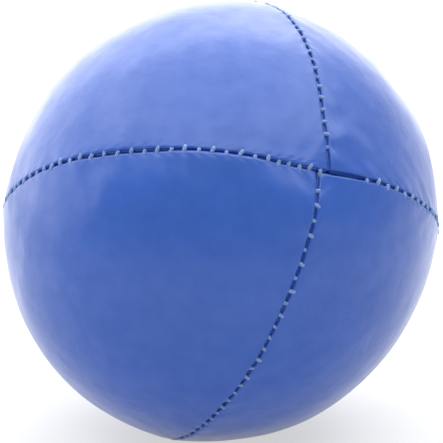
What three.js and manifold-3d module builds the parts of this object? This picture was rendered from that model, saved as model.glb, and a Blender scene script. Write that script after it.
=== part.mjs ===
// A soft juggling ball: four sewn leatherette panels over a fill of seed.
// Millimetres and degrees. The ball lies at rest with its flat on the plane z = 0.

import * as THREE from 'three';
import { mergeVertices } from 'three/addons/utils/BufferGeometryUtils.js';
import Module from 'manifold-3d';

const wasm = await Module();
wasm.setup();

// The ball as a whole
const ballDiameter = 68;
const outOfRound = 0.68;
const restFlat = 0.5;

// The leatherette panels
const wall = 0.8;
const seamAllowance = 5;
const seamGap = 0.6;
const edgeRoll = 0.6;
const seamRise = 0.35;
const riseReach = 3;

// How the two pair seams miss each other at the poles, and how far they lean to the left
const poleOffset = 1.6;
const upperLean = 4.5;
const lowerLean = 4.15;

// The thread and its needle holes
const threadWidth = 0.4;
const holeWidth = 0.64;
const holeClearance = 0.06;
const stitchPitch = 1.95;
const stitchDepth = 1.5;
const pairSeamStart = 3.4;
const threadTail = 0.8;

// The filling opening beside the front pole, closed by hand
const openingStart = 0.4;
const openingLength = 6.6;
const handPitch = 1.5;
const handDepth = 2.2;
const handMargin = 1.8;

// The seed fill
const fillClearance = 0.3;

// How the ball lies: turned about Z, then Y, then X
const lieTurn = -61.7;
const liePitch = -23.3;
const lieRoll = -16.9;

// Where the longest and shortest diameters point, in the ball's own axes
const longAxis = new THREE.Vector3(0.42, 0.33, 0.845).normalize();
const shortAxis = new THREE.Vector3(-0.246, -0.855, 0.457).normalize();

// Mesh fineness
const panelColumns = 28;
const panelRows = 8;
const liningColumns = 20;
const liningRows = 6;
const strandSides = 3;
const coreTurns = 28;
const coreRings = 16;
const rollTurns = [0, 30, 60, 90];
const tipShare = 0.8;
const evenShare = 0.35;
const flatness = 0.002;

const rad = THREE.MathUtils.degToRad;
const radius = ballDiameter / 2;
const flangeRadius = radius - seamAllowance;
const railOffset = seamGap / 2 + wall + holeWidth / 2 + holeClearance;
const fillInset = railOffset + threadWidth / 2 + fillClearance;

const ball = new THREE.Group();
ball.rotation.set(rad(lieRoll), rad(liePitch), rad(lieTurn), 'ZYX');
const down = new THREE.Vector3(0, 0, -1).applyQuaternion(ball.quaternion.clone().invert());

// The radius of the slightly oval ball in a direction
function ovalRadius(direction) {
  const long = direction.dot(longAxis);
  const short = direction.dot(shortAxis);
  return radius + outOfRound * (long * long - short * short);
}

const restHeight = ovalRadius(down) - restFlat;
ball.position.z = restHeight;

// How far the stiff allowances lift the surface, at a distance from a seam
function riseAt(distance) {
  return seamRise * Math.exp(-Math.max(distance, 0) / riseReach);
}

// Steps from 0 to 1 that are closer together towards both ends
function eased(step) {
  return THREE.MathUtils.lerp((1 - Math.cos(Math.PI * step)) / 2, step, evenShare);
}

// One half of the ball: its pole axis, the direction beside that, and the way out of the closing seam
function half(side, lean) {
  const shift = side * Math.asin(poleOffset / 2 / radius);
  const pole = new THREE.Vector3(Math.cos(shift), Math.sin(shift), 0);
  const beside = new THREE.Vector3(-Math.sin(shift), Math.cos(shift), 0);
  const away = new THREE.Vector3(0, 0, side);
  return { pole, beside, away, pairAngle: rad(90 + lean) };
}

const upper = half(1, upperLean);
const lower = half(-1, lowerLean);

// A direction on the ball: `along` runs from the front pole to the back one, `around` about the pole axis
function directionOn(ballHalf, along, around) {
  const side = ballHalf.beside.clone().multiplyScalar(Math.cos(around));
  side.addScaledVector(ballHalf.away, Math.sin(around));
  return ballHalf.pole.clone().multiplyScalar(Math.cos(along)).addScaledVector(side, Math.sin(along));
}

// A closed mesh from vertices and triangles, turned so that its faces look outwards
function closedGeometry(points, triangles) {
  let volume = 0;
  for (const [a, b, c] of triangles) {
    volume += points[a].dot(new THREE.Vector3().crossVectors(points[b], points[c]));
  }
  const faces = volume < 0 ? triangles.map(([a, b, c]) => [a, c, b]) : triangles;
  const geometry = new THREE.BufferGeometry().setFromPoints(points);
  geometry.setIndex(faces.flat());
  return geometry;
}

// A panel's share of the ball: the seam planes on either side, with normals that look into it
function lune(ballHalf, from, to) {
  return {
    ballHalf,
    edges: [from, to],
    normals: [
      directionOn(ballHalf, Math.PI / 2, from + Math.PI / 2),
      directionOn(ballHalf, Math.PI / 2, to - Math.PI / 2),
    ],
    halfWidth: (to - from) / 2,
  };
}

// The surface of a panel, kept `depth` inside and lifted towards its two seams
function ridged({ normals }, depth) {
  return (direction, extra) => {
    const rises = normals.map((normal) => riseAt(direction.dot(normal) * radius));
    return ovalRadius(direction) - depth - extra + Math.max(...rises);
  };
}

// A wedge of the ball between two seam planes that meet on the pole axis. It stays `inset` off both
// planes and fills the space from the radius `floor` to the surface that `crown` gives, whose edges
// roll over by `roll`.
function wedge({ ballHalf, edges, normals, halfWidth }, { inset, crown, roll, floor, columns, rows }) {
  const points = [];
  const triangles = [];

  // One column of a sheet, from one edge to the other
  function columnAt(along, radiusAt, turns) {
    const room = radius * Math.sin(along) * Math.tan(halfWidth) - inset;
    const rolled = Math.min(roll, tipShare * Math.max(room, 0));
    const edgePoint = (k, turn) => {
      const distance = inset + rolled * (1 - Math.cos(rad(turn)));
      const inPlane = directionOn(ballHalf, along, edges[k]);
      const towards = inPlane.clone().addScaledVector(normals[k], distance / radius).normalize();
      const r = radiusAt(towards, roll - rolled * Math.sin(rad(turn)));
      inPlane.multiplyScalar(Math.sqrt(r * r - distance * distance));
      return inPlane.addScaledVector(normals[k], distance);
    };
    const near = turns.map((turn) => edgePoint(0, turn));
    const far = turns.map((turn) => edgePoint(1, turn)).reverse();
    const between = [];
    for (let j = 1; j < rows; j++) {
      const direction = near.at(-1).clone().lerp(far[0], eased(j / rows)).normalize();
      between.push(direction.multiplyScalar(radiusAt(direction, roll - rolled)));
    }
    return [...near, ...between, ...far];
  }

  // A sheet as columns of vertex numbers, with a single vertex at either tip
  function sheet(radiusAt, turns) {
    const tipRadius = radiusAt(ballHalf.pole, roll);
    const tip = Math.asin(inset / Math.tan(halfWidth) / Math.sqrt(tipRadius ** 2 - inset ** 2));
    const grid = [];
    for (let i = 0; i <= columns; i++) {
      const along = THREE.MathUtils.lerp(tip, Math.PI - tip, eased(i / columns));
      const column = columnAt(along, radiusAt, turns);
      const atTip = i === 0 || i === columns;
      grid.push((atTip ? column.slice(0, 1) : column).map((point) => points.push(point) - 1));
    }
    return grid;
  }

  const at = (column, j) => column[column.length === 1 ? 0 : j];
  const quad = (a, b, c, d) => {
    for (const face of [[a, b, c], [a, c, d]]) {
      if (new Set(face).size === 3) triangles.push(face);
    }
  };

  const top = sheet(crown, roll > 0 ? rollTurns : [0]);
  const bottom = sheet(() => floor, [0]);
  const topEnd = top[1].length - 1;
  const bottomEnd = bottom[1].length - 1;
  for (let i = 0; i < columns; i++) {
    for (let j = 0; j < topEnd; j++) {
      quad(at(top[i], j), at(top[i + 1], j), at(top[i + 1], j + 1), at(top[i], j + 1));
    }
    for (let j = 0; j < bottomEnd; j++) {
      quad(at(bottom[i], j), at(bottom[i], j + 1), at(bottom[i + 1], j + 1), at(bottom[i + 1], j));
    }
    quad(at(top[i + 1], 0), at(top[i], 0), at(bottom[i], 0), at(bottom[i + 1], 0));
    quad(
      at(top[i], topEnd), at(top[i + 1], topEnd),
      at(bottom[i + 1], bottomEnd), at(bottom[i], bottomEnd),
    );
  }
  return closedGeometry(points, triangles);
}

// A thread or its clearance: a straight-sided tube through the points, mitred at each corner
function strand(path, width) {
  const points = [];
  const triangles = [];
  const headings = path.slice(1).map((p, i) => p.clone().sub(path[i]).normalize());
  const start = path[0].clone().cross(headings[0]).normalize();
  let ring = [];
  for (let k = 0; k < strandSides; k++) {
    const turn = (2 * Math.PI * k) / strandSides;
    ring.push(start.clone().applyAxisAngle(headings[0], turn).multiplyScalar(width / 2));
  }
  path.forEach((corner, i) => {
    const into = headings[Math.max(i - 1, 0)];
    const outOf = headings[Math.min(i, headings.length - 1)];
    const mitre = into.clone().add(outOf).normalize();
    ring = ring.map((spoke) => spoke.clone().addScaledVector(into, -spoke.dot(mitre) / into.dot(mitre)));
    points.push(...ring.map((spoke) => corner.clone().add(spoke)));
    ring = ring.map((spoke) => spoke.clone().addScaledVector(outOf, -spoke.dot(outOf)));
  });
  for (let i = 0; i < path.length - 1; i++) {
    for (let k = 0; k < strandSides; k++) {
      const a = i * strandSides + k;
      const b = i * strandSides + ((k + 1) % strandSides);
      triangles.push([a, b, b + strandSides], [a, b + strandSides, a + strandSides]);
    }
  }
  const lastRing = (path.length - 1) * strandSides;
  for (let k = 1; k < strandSides - 1; k++) {
    triangles.push([0, k + 1, k], [lastRing, lastRing + k, lastRing + k + 1]);
  }
  return closedGeometry(points, triangles);
}

// The way of a thread along a seam: across it through each pair of needle holes, then along its back
function stitches(directionAt, normal, begin, end, pitch, depth) {
  const count = Math.max(2, Math.round((end - begin) / pitch));
  const path = [];
  let side = 1;
  const place = (arc, offset) => {
    const direction = directionAt(arc / radius);
    const r = ovalRadius(direction) + riseAt(0) - depth;
    return direction.multiplyScalar(r).addScaledVector(normal, offset);
  };
  path.push(place(begin - threadTail, side * railOffset));
  for (let i = 0; i <= count; i++) {
    const arc = begin + ((end - begin) * i) / count;
    path.push(place(arc, side * railOffset), place(arc, -side * railOffset));
    side = -side;
  }
  path.push(place(end + threadTail, side * railOffset));
  return path;
}

function solid(geometry) {
  const { position } = geometry.attributes;
  return new wasm.Manifold(new wasm.Mesh({
    numProp: 3,
    vertProperties: new Float32Array(position.array),
    triVerts: new Uint32Array(geometry.index.array),
  }));
}

// A closed solid of one of the plain geometry classes
function plainSolid(geometry) {
  geometry.deleteAttribute('normal');
  geometry.deleteAttribute('uv');
  return solid(mergeVertices(geometry));
}

// All that lies under the plane that the ball rests on, raised by `depth`
function belowRest(depth) {
  const slab = new THREE.BoxGeometry(ballDiameter, ballDiameter, ballDiameter);
  slab.translate(0, 0, depth - restHeight - ballDiameter / 2);
  slab.applyQuaternion(ball.quaternion.clone().invert());
  return plainSolid(slab);
}

function fromSolid(manifold) {
  const { vertProperties, triVerts } = manifold.asOriginal().simplify(flatness).getMesh();
  const geometry = new THREE.BufferGeometry();
  geometry.setAttribute('position', new THREE.BufferAttribute(vertProperties, 3));
  geometry.setIndex(new THREE.BufferAttribute(triVerts, 1));
  return geometry;
}

function addPart(name, geometry, material) {
  const mesh = new THREE.Mesh(geometry, new THREE.MeshStandardMaterial(material));
  mesh.name = name;
  ball.add(mesh);
}

// Seams: the closing seam circles the ball, and a pair seam runs from pole to pole on either half
const closingDirection = (turn) => new THREE.Vector3(Math.cos(turn), Math.sin(turn), 0);
const closingNormal = new THREE.Vector3(0, 0, 1);
const girth = Math.PI * ballDiameter;
const openingEnd = openingStart + openingLength;

function pairStitches(ballHalf) {
  const directionAt = (along) => directionOn(ballHalf, along, ballHalf.pairAngle);
  const normal = directionOn(ballHalf, Math.PI / 2, ballHalf.pairAngle - Math.PI / 2);
  return stitches(directionAt, normal, pairSeamStart, girth / 2 - pairSeamStart, stitchPitch, stitchDepth);
}

const threads = {
  upper_seam_thread: pairStitches(upper),
  lower_seam_thread: pairStitches(lower),
  closing_seam_thread: stitches(
    closingDirection, closingNormal, openingEnd + threadTail, girth + openingStart - threadTail,
    stitchPitch, stitchDepth,
  ),
  hand_closing_thread: stitches(
    closingDirection, closingNormal, openingStart + handMargin, openingEnd - handMargin,
    handPitch, handDepth,
  ),
};

// Panels: a wedge of skin with its two seam allowances turned in, pierced by the needle holes
const panelSpans = {
  panel_upper_right: lune(upper, 0, upper.pairAngle),
  panel_upper_left: lune(upper, upper.pairAngle, Math.PI),
  panel_lower_right: lune(lower, 0, lower.pairAngle),
  panel_lower_left: lune(lower, lower.pairAngle, Math.PI),
};

const closingHoles = solid(strand(threads.closing_seam_thread, holeWidth))
  .add(solid(strand(threads.hand_closing_thread, holeWidth)));
const pairHoles = new Map([
  [upper, solid(strand(threads.upper_seam_thread, holeWidth))],
  [lower, solid(strand(threads.lower_seam_thread, holeWidth))],
]);

const leatherette = { color: 0x3f62b8, roughness: 0.42, metalness: 0 };
for (const [name, span] of Object.entries(panelSpans)) {
  const cover = wedge(span, {
    inset: seamGap / 2,
    crown: ridged(span, 0),
    roll: edgeRoll,
    floor: flangeRadius,
    columns: panelColumns,
    rows: panelRows,
  });
  const hollow = wedge(span, {
    inset: seamGap / 2 + wall,
    crown: ridged(span, wall),
    roll: 0,
    floor: flangeRadius - wall,
    columns: liningColumns,
    rows: liningRows,
  });
  const settled = solid(cover).subtract(belowRest(0));
  const skin = settled.subtract(solid(hollow).subtract(belowRest(wall)));
  const pierced = skin.subtract(closingHoles).subtract(pairHoles.get(span.ballHalf));
  addPart(name, fromSolid(pierced), leatherette);
}

const thread = { color: 0x9fb4e6, roughness: 0.6, metalness: 0 };
for (const [name, path] of Object.entries(threads)) {
  addPart(name, strand(path, threadWidth), thread);
}

// Seed fill: a round core with a lobe behind each panel, clear of the seam allowances and the thread
let fill = plainSolid(new THREE.SphereGeometry(flangeRadius - fillClearance, coreTurns, coreRings));
for (const span of Object.values(panelSpans)) {
  fill = fill.add(solid(wedge(span, {
    inset: fillInset,
    crown: ridged(span, wall + fillClearance),
    roll: 0,
    floor: flangeRadius / 2,
    columns: liningColumns,
    rows: liningRows,
  })));
}
fill = fill.subtract(belowRest(wall + fillClearance));
addPart('seed_fill', fromSolid(fill), { color: 0xd8b873, roughness: 0.8, metalness: 0 });

const jugglingBall = new THREE.Group();
jugglingBall.add(ball);

export default jugglingBall;
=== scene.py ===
# %% [markdown]
# # A sewn juggling ball
#
# This lesson dresses the frame of a soft juggling ball: four leatherette panels, the thread that
# joins them and the seed inside. The frame comes first, because every piece below has to sit
# where the frame says it sits. The ball's form is worked out in millimetres, which become metres
# when a piece is made. The settings of finishes, floor and lights are in metres.

import bmesh
import bpy
import numpy as np
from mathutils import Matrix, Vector


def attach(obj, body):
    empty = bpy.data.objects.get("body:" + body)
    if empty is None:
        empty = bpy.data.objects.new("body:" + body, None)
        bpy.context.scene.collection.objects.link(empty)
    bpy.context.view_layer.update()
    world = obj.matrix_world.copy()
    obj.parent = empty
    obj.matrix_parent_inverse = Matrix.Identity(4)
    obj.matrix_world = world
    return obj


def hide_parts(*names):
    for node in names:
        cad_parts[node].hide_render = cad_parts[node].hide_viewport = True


METRES = 0.001

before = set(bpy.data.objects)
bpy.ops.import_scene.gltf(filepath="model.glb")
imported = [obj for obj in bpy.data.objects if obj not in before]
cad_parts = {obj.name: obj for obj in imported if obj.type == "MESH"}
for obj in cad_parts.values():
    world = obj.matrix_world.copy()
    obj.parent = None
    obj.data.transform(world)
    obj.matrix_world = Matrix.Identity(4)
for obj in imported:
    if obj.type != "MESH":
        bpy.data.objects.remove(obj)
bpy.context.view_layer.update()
print("frame nodes:", sorted(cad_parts))

# %% [markdown]
# ## How the ball lies
#
# The maker sews the ball in its own axes: x runs through the two poles where all panels meet,
# and z stands on the closing seam that goes right round. On the table the ball has rolled over.
# Every point could be written as it lies, but then no seam would be in a simple plane. So the
# sewing is worked out in the ball's axes, and three turns carry it to the table.

# %% The ball's own axes
TURN_ABOUT_X = -16.9
TURN_ABOUT_Y = -23.3
TURN_ABOUT_Z = -61.7


def unit(vectors):
    """Each vector divided by its own length."""
    vectors = np.asarray(vectors, float)
    return vectors / np.linalg.norm(vectors, axis=-1, keepdims=True)


def turn_about(axis, degrees):
    """The rotation about one coordinate axis.

    The cosine stands on the diagonal, and the sine beside it, once with a minus.
    """
    cosine = np.cos(np.radians(degrees))
    sine = np.sin(np.radians(degrees))
    a, b = (axis + 1) % 3, (axis + 2) % 3
    matrix = np.eye(3)
    matrix[[a, a, b, b], [a, b, a, b]] = cosine, -sine, sine, cosine
    return matrix


lie = turn_about(2, TURN_ABOUT_Z) @ turn_about(1, TURN_ABOUT_Y) @ turn_about(0, TURN_ABOUT_X)
print("the front pole points to", (lie @ (1, 0, 0)).round(2))

# %% [markdown]
# ## An oval that has settled
#
# A filled ball is never quite round, and its seed sinks until it lies on a small flat. Cutting a
# sphere with a plane would leave a sharp edge. Two formulas do it better: the radius changes with
# the direction, and a smooth maximum of the height and zero presses the bottom flat.

# %% The oval and its flat
RADIUS = 34.0
OUT_OF_ROUND = 0.68
LONG_AXIS = unit((0.42, 0.33, 0.845))
SHORT_AXIS = unit((-0.246, -0.855, 0.457))
REST_FLAT = 0.5
SETTLE_SOFTNESS = 0.45


def oval_radius(directions):
    """The radius, plus the out-of-round times the long axis's share less the short one's.

    An axis's share is the squared cosine of the angle to it.
    """
    return RADIUS + OUT_OF_ROUND * ((directions @ LONG_AXIS) ** 2 - (directions @ SHORT_AXIS) ** 2)


rest_height = oval_radius(lie.T @ (0, 0, -1)) - REST_FLAT


def to_row(points):
    """Ball axes to the row frame: turn, lift, settle on the floor, millimetres to metres.

    The settling is a smooth maximum of the height and zero: inside the softness, the squared
    overlap over four softnesses is added, so the flat runs into the round without an edge.
    """
    placed = points @ lie.T
    height = placed[..., 2] + rest_height
    overlap = np.clip(SETTLE_SOFTNESS - np.abs(height), 0, None)
    placed[..., 2] = np.maximum(height, 0) + overlap**2 / (4 * SETTLE_SOFTNESS)
    return placed * METRES


print(f"ball middle {rest_height:.2f} mm above the floor")

# %% [markdown]
# ## The camera
#
# The photograph looks at the ball from a little above and from about eight ball radii away. That
# matters, because so near a camera sees less than half of the ball. The lens is worked out from
# the focal length in pixels: sensor width times focal length over image width. The aim lies
# slightly off the middle, as it does in the photograph.

# %% The camera
IMAGE_SIZE = 443
FOCAL_PIXELS = 1732
SENSOR_WIDTH = 36
NEAREST_SEEN = 10.0
CAMERA_DISTANCE = 272.0
CAMERA_ELEVATION = 12.0
AIM_OFFSET = (0.16, 0.05)

elevation = np.radians(CAMERA_ELEVATION)
view_right = np.array((1.0, 0.0, 0.0))
view_up = np.array((0.0, np.sin(elevation), np.cos(elevation)))
view_back = np.array((0.0, -np.cos(elevation), np.sin(elevation)))
aim = AIM_OFFSET[0] * view_right + AIM_OFFSET[1] * view_up
camera_place = aim + CAMERA_DISTANCE * view_back

camera = bpy.data.objects.new("camera", bpy.data.cameras.new("camera"))
bpy.context.scene.collection.objects.link(camera)
camera.data.sensor_width = SENSOR_WIDTH
camera.data.lens = SENSOR_WIDTH * FOCAL_PIXELS / IMAGE_SIZE
camera.data.clip_start = NEAREST_SEEN * METRES
camera.location = (camera_place + (0, 0, rest_height)) * METRES
camera.rotation_euler = Vector(-view_back).to_track_quat("-Z", "Y").to_euler()
bpy.context.scene.camera = camera
print(f"lens {camera.data.lens:.1f} mm")

# %% [markdown]
# ## A pixel on the ball
#
# The larger creases go where the picture shows them. Guessing their places in the ball's axes would
# take many tries, so a pixel is carried to the ball instead: its ray is followed from the camera
# to the place where it first meets the ball.

# %% From a pixel to the ball


def seen_at(x, y):
    """The direction, in the ball's axes, of the spot under a pixel.

    The ray reaches the place nearest the middle, then goes back by the root of the squared
    radius less that place's squared distance from the middle. A ray that misses the ball
    stays at its nearest place.
    """
    centre = IMAGE_SIZE / 2
    ray = unit((x - centre) * view_right + (centre - y) * view_up - FOCAL_PIXELS * view_back)
    nearest = -camera_place @ ray
    inside = RADIUS**2 - camera_place @ camera_place + nearest**2
    return unit(camera_place + (nearest - np.sqrt(max(0.0, inside))) * ray) @ lie


print("the picture's middle shows the direction", seen_at(IMAGE_SIZE / 2, IMAGE_SIZE / 2).round(2))

# %% [markdown]
# ## Two halves
#
# The ball is two cups of two panels each, sewn mouth to mouth. The two pair seams miss each other at
# the poles, as hand-guided sewing does, so each cup has a pole of its own. A place on a cup is
# two angles: along, away from its pole, and around, away from the closing seam.

# %% The halves
POLE_OFFSET = 1.6
UPPER_LEAN = 4.5
LOWER_LEAN = 4.15


def half_axes(side, lean):
    """One half of the ball: its pole, the direction beside it and the way out of the closing seam.

    The pole is shifted by the angle whose sine is half the offset over the radius. The pair seam
    stands at a right angle plus the lean.
    """
    shift = side * np.arcsin(POLE_OFFSET / 2 / RADIUS)
    return {
        "shift": shift,
        "pole": np.array((np.cos(shift), np.sin(shift), 0)),
        "beside": np.array((-np.sin(shift), np.cos(shift), 0)),
        "away": np.array((0, 0, side)),
        "pair_angle": np.radians(90 + lean),
    }


def direction_on(half, along, around):
    """Cosine of along times the pole, plus sine of along times the sideways direction at around."""
    along = np.asarray(along)[..., None]
    around = np.asarray(around)[..., None]
    sideways = np.cos(around) * half["beside"] + np.sin(around) * half["away"]
    return np.cos(along) * half["pole"] + np.sin(along) * sideways


upper = half_axes(1, UPPER_LEAN)
lower = half_axes(-1, LOWER_LEAN)
print(f"each pole is {np.degrees(upper['shift']):.2f} degrees off the axis")

# %% [markdown]
# ## Seams
#
# A seam is a curve on the ball with a row of stitches along it. A pair seam joins two panels of one
# half, and the closing seam then joins the halves. One even pitch would look drawn and not sewn.
# A sewer's pitch changes a little from stretch to stretch, so the stitches are
# counted off in stretches. In the filling opening the closing seam gapes and has no machine stitch.

# %% Seams and their stitches
GIRTH = 2 * np.pi * RADIUS
OPENING_MIDDLE = 3.7
OPENING_REACH = 4.0
TIGHT_MIDDLE = 18.0
TIGHT_REACH = 8.0
TIGHT_SHARE = 0.4
# Each stretch: where it starts and ends along its seam, and how many steps it takes.
UPPER_STRETCHES = ((3.6, 13.4, 5), (13.4, 28.6, 9), (28.6, 103.4, 40))
LOWER_STRETCHES = ((3.05, 15.75, 6), (15.75, 29.3, 7), (29.3, 47.4, 10), (47.4, 103.4, 30))
CLOSING_STRETCHES = (
    (7.1, 17.1, 5), (17.1, 161.2, 72), (161.2, 178.8, 9),
    (178.8, 185.5, 3), (185.5, 205.3, 10), (205.3, 213.1, 5),
)


def stitch_places(stretches):
    """Arc lengths of the stitches: each stretch in equal steps, and the stretches joined."""
    steps = [np.linspace(start, end, count + 1) for start, end, count in stretches]
    return np.unique(np.concatenate(steps).round(4))


def opened_along(arc):
    """How far the closing seam gapes.

    A flat-topped bell curve, the fourth power in its exponent, is one in the opening. A plain
    bell curve goes a little below zero where the seam is drawn tight.
    """
    turn = (arc + GIRTH / 2) % GIRTH - GIRTH / 2
    opening = np.exp(-(((turn - OPENING_MIDDLE) / OPENING_REACH) ** 4))
    return opening - TIGHT_SHARE * np.exp(-(((turn - TIGHT_MIDDLE) / TIGHT_REACH) ** 2))


def round_the_ball(arc):
    """The direction at an arc length of the closing seam: cosine and sine of arc over radius."""
    return np.stack((np.cos(arc / RADIUS), np.sin(arc / RADIUS), np.zeros_like(arc)), axis=-1)


def pair_seam(half, stretches):
    """A seam that runs from the front pole to the back one at the half's pair angle."""
    return {
        "direction": lambda arc: direction_on(half, arc / RADIUS, half["pair_angle"]),
        "normal": direction_on(half, np.pi / 2, half["pair_angle"] - np.pi / 2),
        "rungs": stitch_places(stretches),
        "opened": np.zeros_like,
    }


upper_seam = pair_seam(upper, UPPER_STRETCHES)
lower_seam = pair_seam(lower, LOWER_STRETCHES)
closing_seam = {
    "direction": round_the_ball,
    "normal": np.array((0.0, 0.0, 1.0)),
    "rungs": stitch_places(CLOSING_STRETCHES),
    "opened": opened_along,
}
every_seam = (upper_seam, lower_seam, closing_seam)
print("stitches:", [len(seam["rungs"]) for seam in every_seam])

# %% [markdown]
# ## Sway
#
# No sewn seam is a perfect circle. Tension pulls each one off its plane, mostly by a few tenths of a
# millimetre. The sway is a curve over the seam's arc length, given by a few knots that were read off
# the photograph and rounded. Bending each piece by itself would let gaps open, so every point of
# every piece goes through the same sway: threads stay in their seams, and panels side by side.

# %% Knots of the sway
SWAY_SMOOTHING = np.linspace(-4, 4, 9)
# Each knot: the arc length on the seam, and how far the seam lies off its plane there.
CLOSING_SWAY = (
    (-100, 0), (-74, -1.0), (-60, -1.6), (-52, -1.0), (-44, -0.35), (-34, 0.15), (-26, 0.25),
    (-18, 0.2), (-10, -0.1), (-3, -0.5), (1, -0.5), (6, -0.1), (12, 0.2), (20, 0.2), (30, 0.6),
    (44, 0.5), (70, 0), (100, 0),
)
UPPER_SWAY = (
    (0, -0.5), (4, -0.7), (8, -0.95), (13, -0.6), (20, -0.4), (25, -0.3), (30, 0), (36, -0.3), (60, 0),
)
LOWER_SWAY = (
    (0, -0.5), (4, -0.05), (9, 0.25), (14, 0.15), (20, -0.1), (32, -0.3), (40, -0.75), (50, -0.8), (75, 0),
)


def curve_through(knots, arc):
    """The knots joined by straight lines, then averaged over a few places either side."""
    places, heights = np.transpose(knots)
    return np.mean([np.interp(arc + step, places, heights) for step in SWAY_SMOOTHING], axis=0)


print("largest sway of the closing seam", max(abs(height) for place, height in CLOSING_SWAY), "mm")

# %% [markdown]
# ## Points that follow the sway
#
# The leather beside a seam moves with it, and the leather far away doesn't. So each sway fades with
# the distance from its own seam.

# %% The sway of a point
SWAY_FALLOFF = 14.0
SWAY_BLEND = 3.0


def smooth_step(values, low, high):
    """Zero below low, one above high, and three squares less two cubes of the share between."""
    share = np.clip((values - low) / (high - low), 0, 1)
    return share * share * (3 - 2 * share)


def swayed(points):
    """Each point moved by the closing sway along z and by each pair sway along its seam's normal.

    The closing sway fades with the squared height off its seam, and a pair sway with the bell
    curve of the distance from its own seam, on its own half. The distance from the middle stays.
    """
    length = np.linalg.norm(points, axis=-1, keepdims=True)
    heading = points / length
    arc = RADIUS * np.arctan2(heading[..., 1], heading[..., 0])
    faded = curve_through(CLOSING_SWAY, arc) * (1 - heading[..., 2] ** 2)
    shift = faded[..., None] * closing_seam["normal"]
    for half, seam, knots in ((upper, upper_seam, UPPER_SWAY), (lower, lower_seam, LOWER_SWAY)):
        across = RADIUS * (heading @ seam["normal"])
        outward = heading @ direction_on(half, np.pi / 2, half["pair_angle"])
        along = RADIUS * np.arctan2(outward, heading @ half["pole"])
        share = np.exp(-((across / SWAY_FALLOFF) ** 2))
        share = share * smooth_step(outward * RADIUS, -SWAY_BLEND, SWAY_BLEND)
        shift = shift + (curve_through(knots, along) * share)[..., None] * seam["normal"]
    return unit(points + shift) * length


front_pole = swayed(RADIUS * upper["pole"])
print("the front pole moves by", (front_pole - RADIUS * upper["pole"]).round(2), "mm")

# %% [markdown]
# ## Lumps and folds
#
# A beanbag ball is not a sphere: the seed pushes out low lumps, and the leatherette creases where it
# is gathered. Sculpting them by hand could not be repeated. Here each one is a bell curve that is
# added to the radius, at the pixels where the photograph shows it.

# %% Lumps and folds
# A lump has the pixel that it shows at. Its height and reach are in millimetres.
LUMPS = {
    "upper left shoulder": {"at": (73, 61), "height": 0.42, "reach": 10.0},
    "right shoulder": {"at": (420, 131), "height": 0.22, "reach": 5.0},
    "hollow at the bottom": {"at": (243, 439), "height": -0.15, "reach": 6.0},
    "hollow at the lower right": {"at": (398, 350), "height": -0.14, "reach": 12.0},
}
# A fold has the pixels that it runs from and to. A hollow's height is below zero.
FOLDS = {
    "hollow of the upper left panel": {"from": (150, 96), "to": (300, 108), "height": -0.13, "reach": 4.5},
    "swell at the left": {"from": (112, 199), "to": (170, 184), "height": 0.48, "reach": 4.2},
    "swell left of the pole": {"from": (270, 191), "to": (306, 202), "height": 0.5, "reach": 3.8},
    "crease by the upper seam": {"from": (331, 114), "to": (349, 117), "height": -0.14, "reach": 1.5},
    "end of that crease": {"from": (349, 117), "to": (370, 140), "height": -0.1, "reach": 1.5},
    "ridge beside the upper seam": {"from": (340, 160), "to": (339, 140), "height": 0.12, "reach": 1.2},
    "bend of that ridge": {"from": (339, 136), "to": (350, 135), "height": 0.14, "reach": 1.5},
    "end of that ridge": {"from": (350, 135), "to": (364, 150), "height": 0.1, "reach": 1.5},
    "swell right of the opening": {"from": (366, 182), "to": (404, 198), "height": 0.2, "reach": 4.5},
    "ridge down the left edge": {"from": (40, 200), "to": (24, 300), "height": 0.08, "reach": 3.0},
    "ridge by the upper left edge": {"from": (58, 142), "to": (128, 72), "height": 0.07, "reach": 1.8},
    "ridge inside that one": {"from": (96, 132), "to": (136, 90), "height": 0.03, "reach": 2.2},
    "hollow by the upper right edge": {"from": (344, 68), "to": (384, 92), "height": -0.05, "reach": 2.2},
    "ridge by the upper right edge": {"from": (340, 84), "to": (384, 110), "height": 0.05, "reach": 2.2},
}
# Folds of the lower panels that end at the closing seam.
LOWER_FOLDS = {
    "left hollow under the seam": {"from": (100, 154), "to": (166, 147), "height": -0.26, "reach": 3.0},
    "right hollow under the seam": {"from": (288, 165), "to": (320, 172), "height": -0.3, "reach": 3.0},
    "swell under the seam": {"from": (186, 150), "to": (244, 158), "height": 0.36, "reach": 3.0},
}
LIP = 0.3


def bell(directions, places, form):
    """Height times e to the minus squared distance over squared reach.

    The squared distance is twice the squared radius times one less the cosine between the two.
    """
    squared = 2 * RADIUS**2 * (1 - (directions * places).sum(-1))
    return form["height"] * np.exp(-squared / form["reach"] ** 2)


def fold_bell(directions, fold):
    """The bell curve round a fold's line, from its nearest place to each direction.

    That place's share of the way is the part of the direction that runs along the line, over the
    line's squared length, clipped to lie between the ends.
    """
    start = seen_at(*fold["from"])
    line = seen_at(*fold["to"]) - start
    share = np.clip((directions - start) @ line / (line @ line), 0, 1)
    return bell(directions, unit(start + share[..., None] * line), fold)


def lumps(directions):
    """The sum of all lumps and folds; the lower folds end at the closing seam by a smooth step."""
    below = smooth_step(-RADIUS * directions[..., 2], -LIP, LIP)
    total = sum(bell(directions, seen_at(*lump["at"]), lump) for lump in LUMPS.values())
    total = total + sum(fold_bell(directions, fold) for fold in FOLDS.values())
    return total + below * sum(fold_bell(directions, fold) for fold in LOWER_FOLDS.values())


print(len(LUMPS), "lumps,", len(FOLDS) + len(LOWER_FOLDS), "folds")

# %% [markdown]
# ## Waves
#
# Between the folds the skin still isn't smooth: loose seed lies under it. Noise on each vertex would
# look like sandpaper. A sum of long and short waves, each in its own direction, gives the soft
# unevenness of a filled bag. The draws are seeded, so the ball is the same each time.

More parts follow.
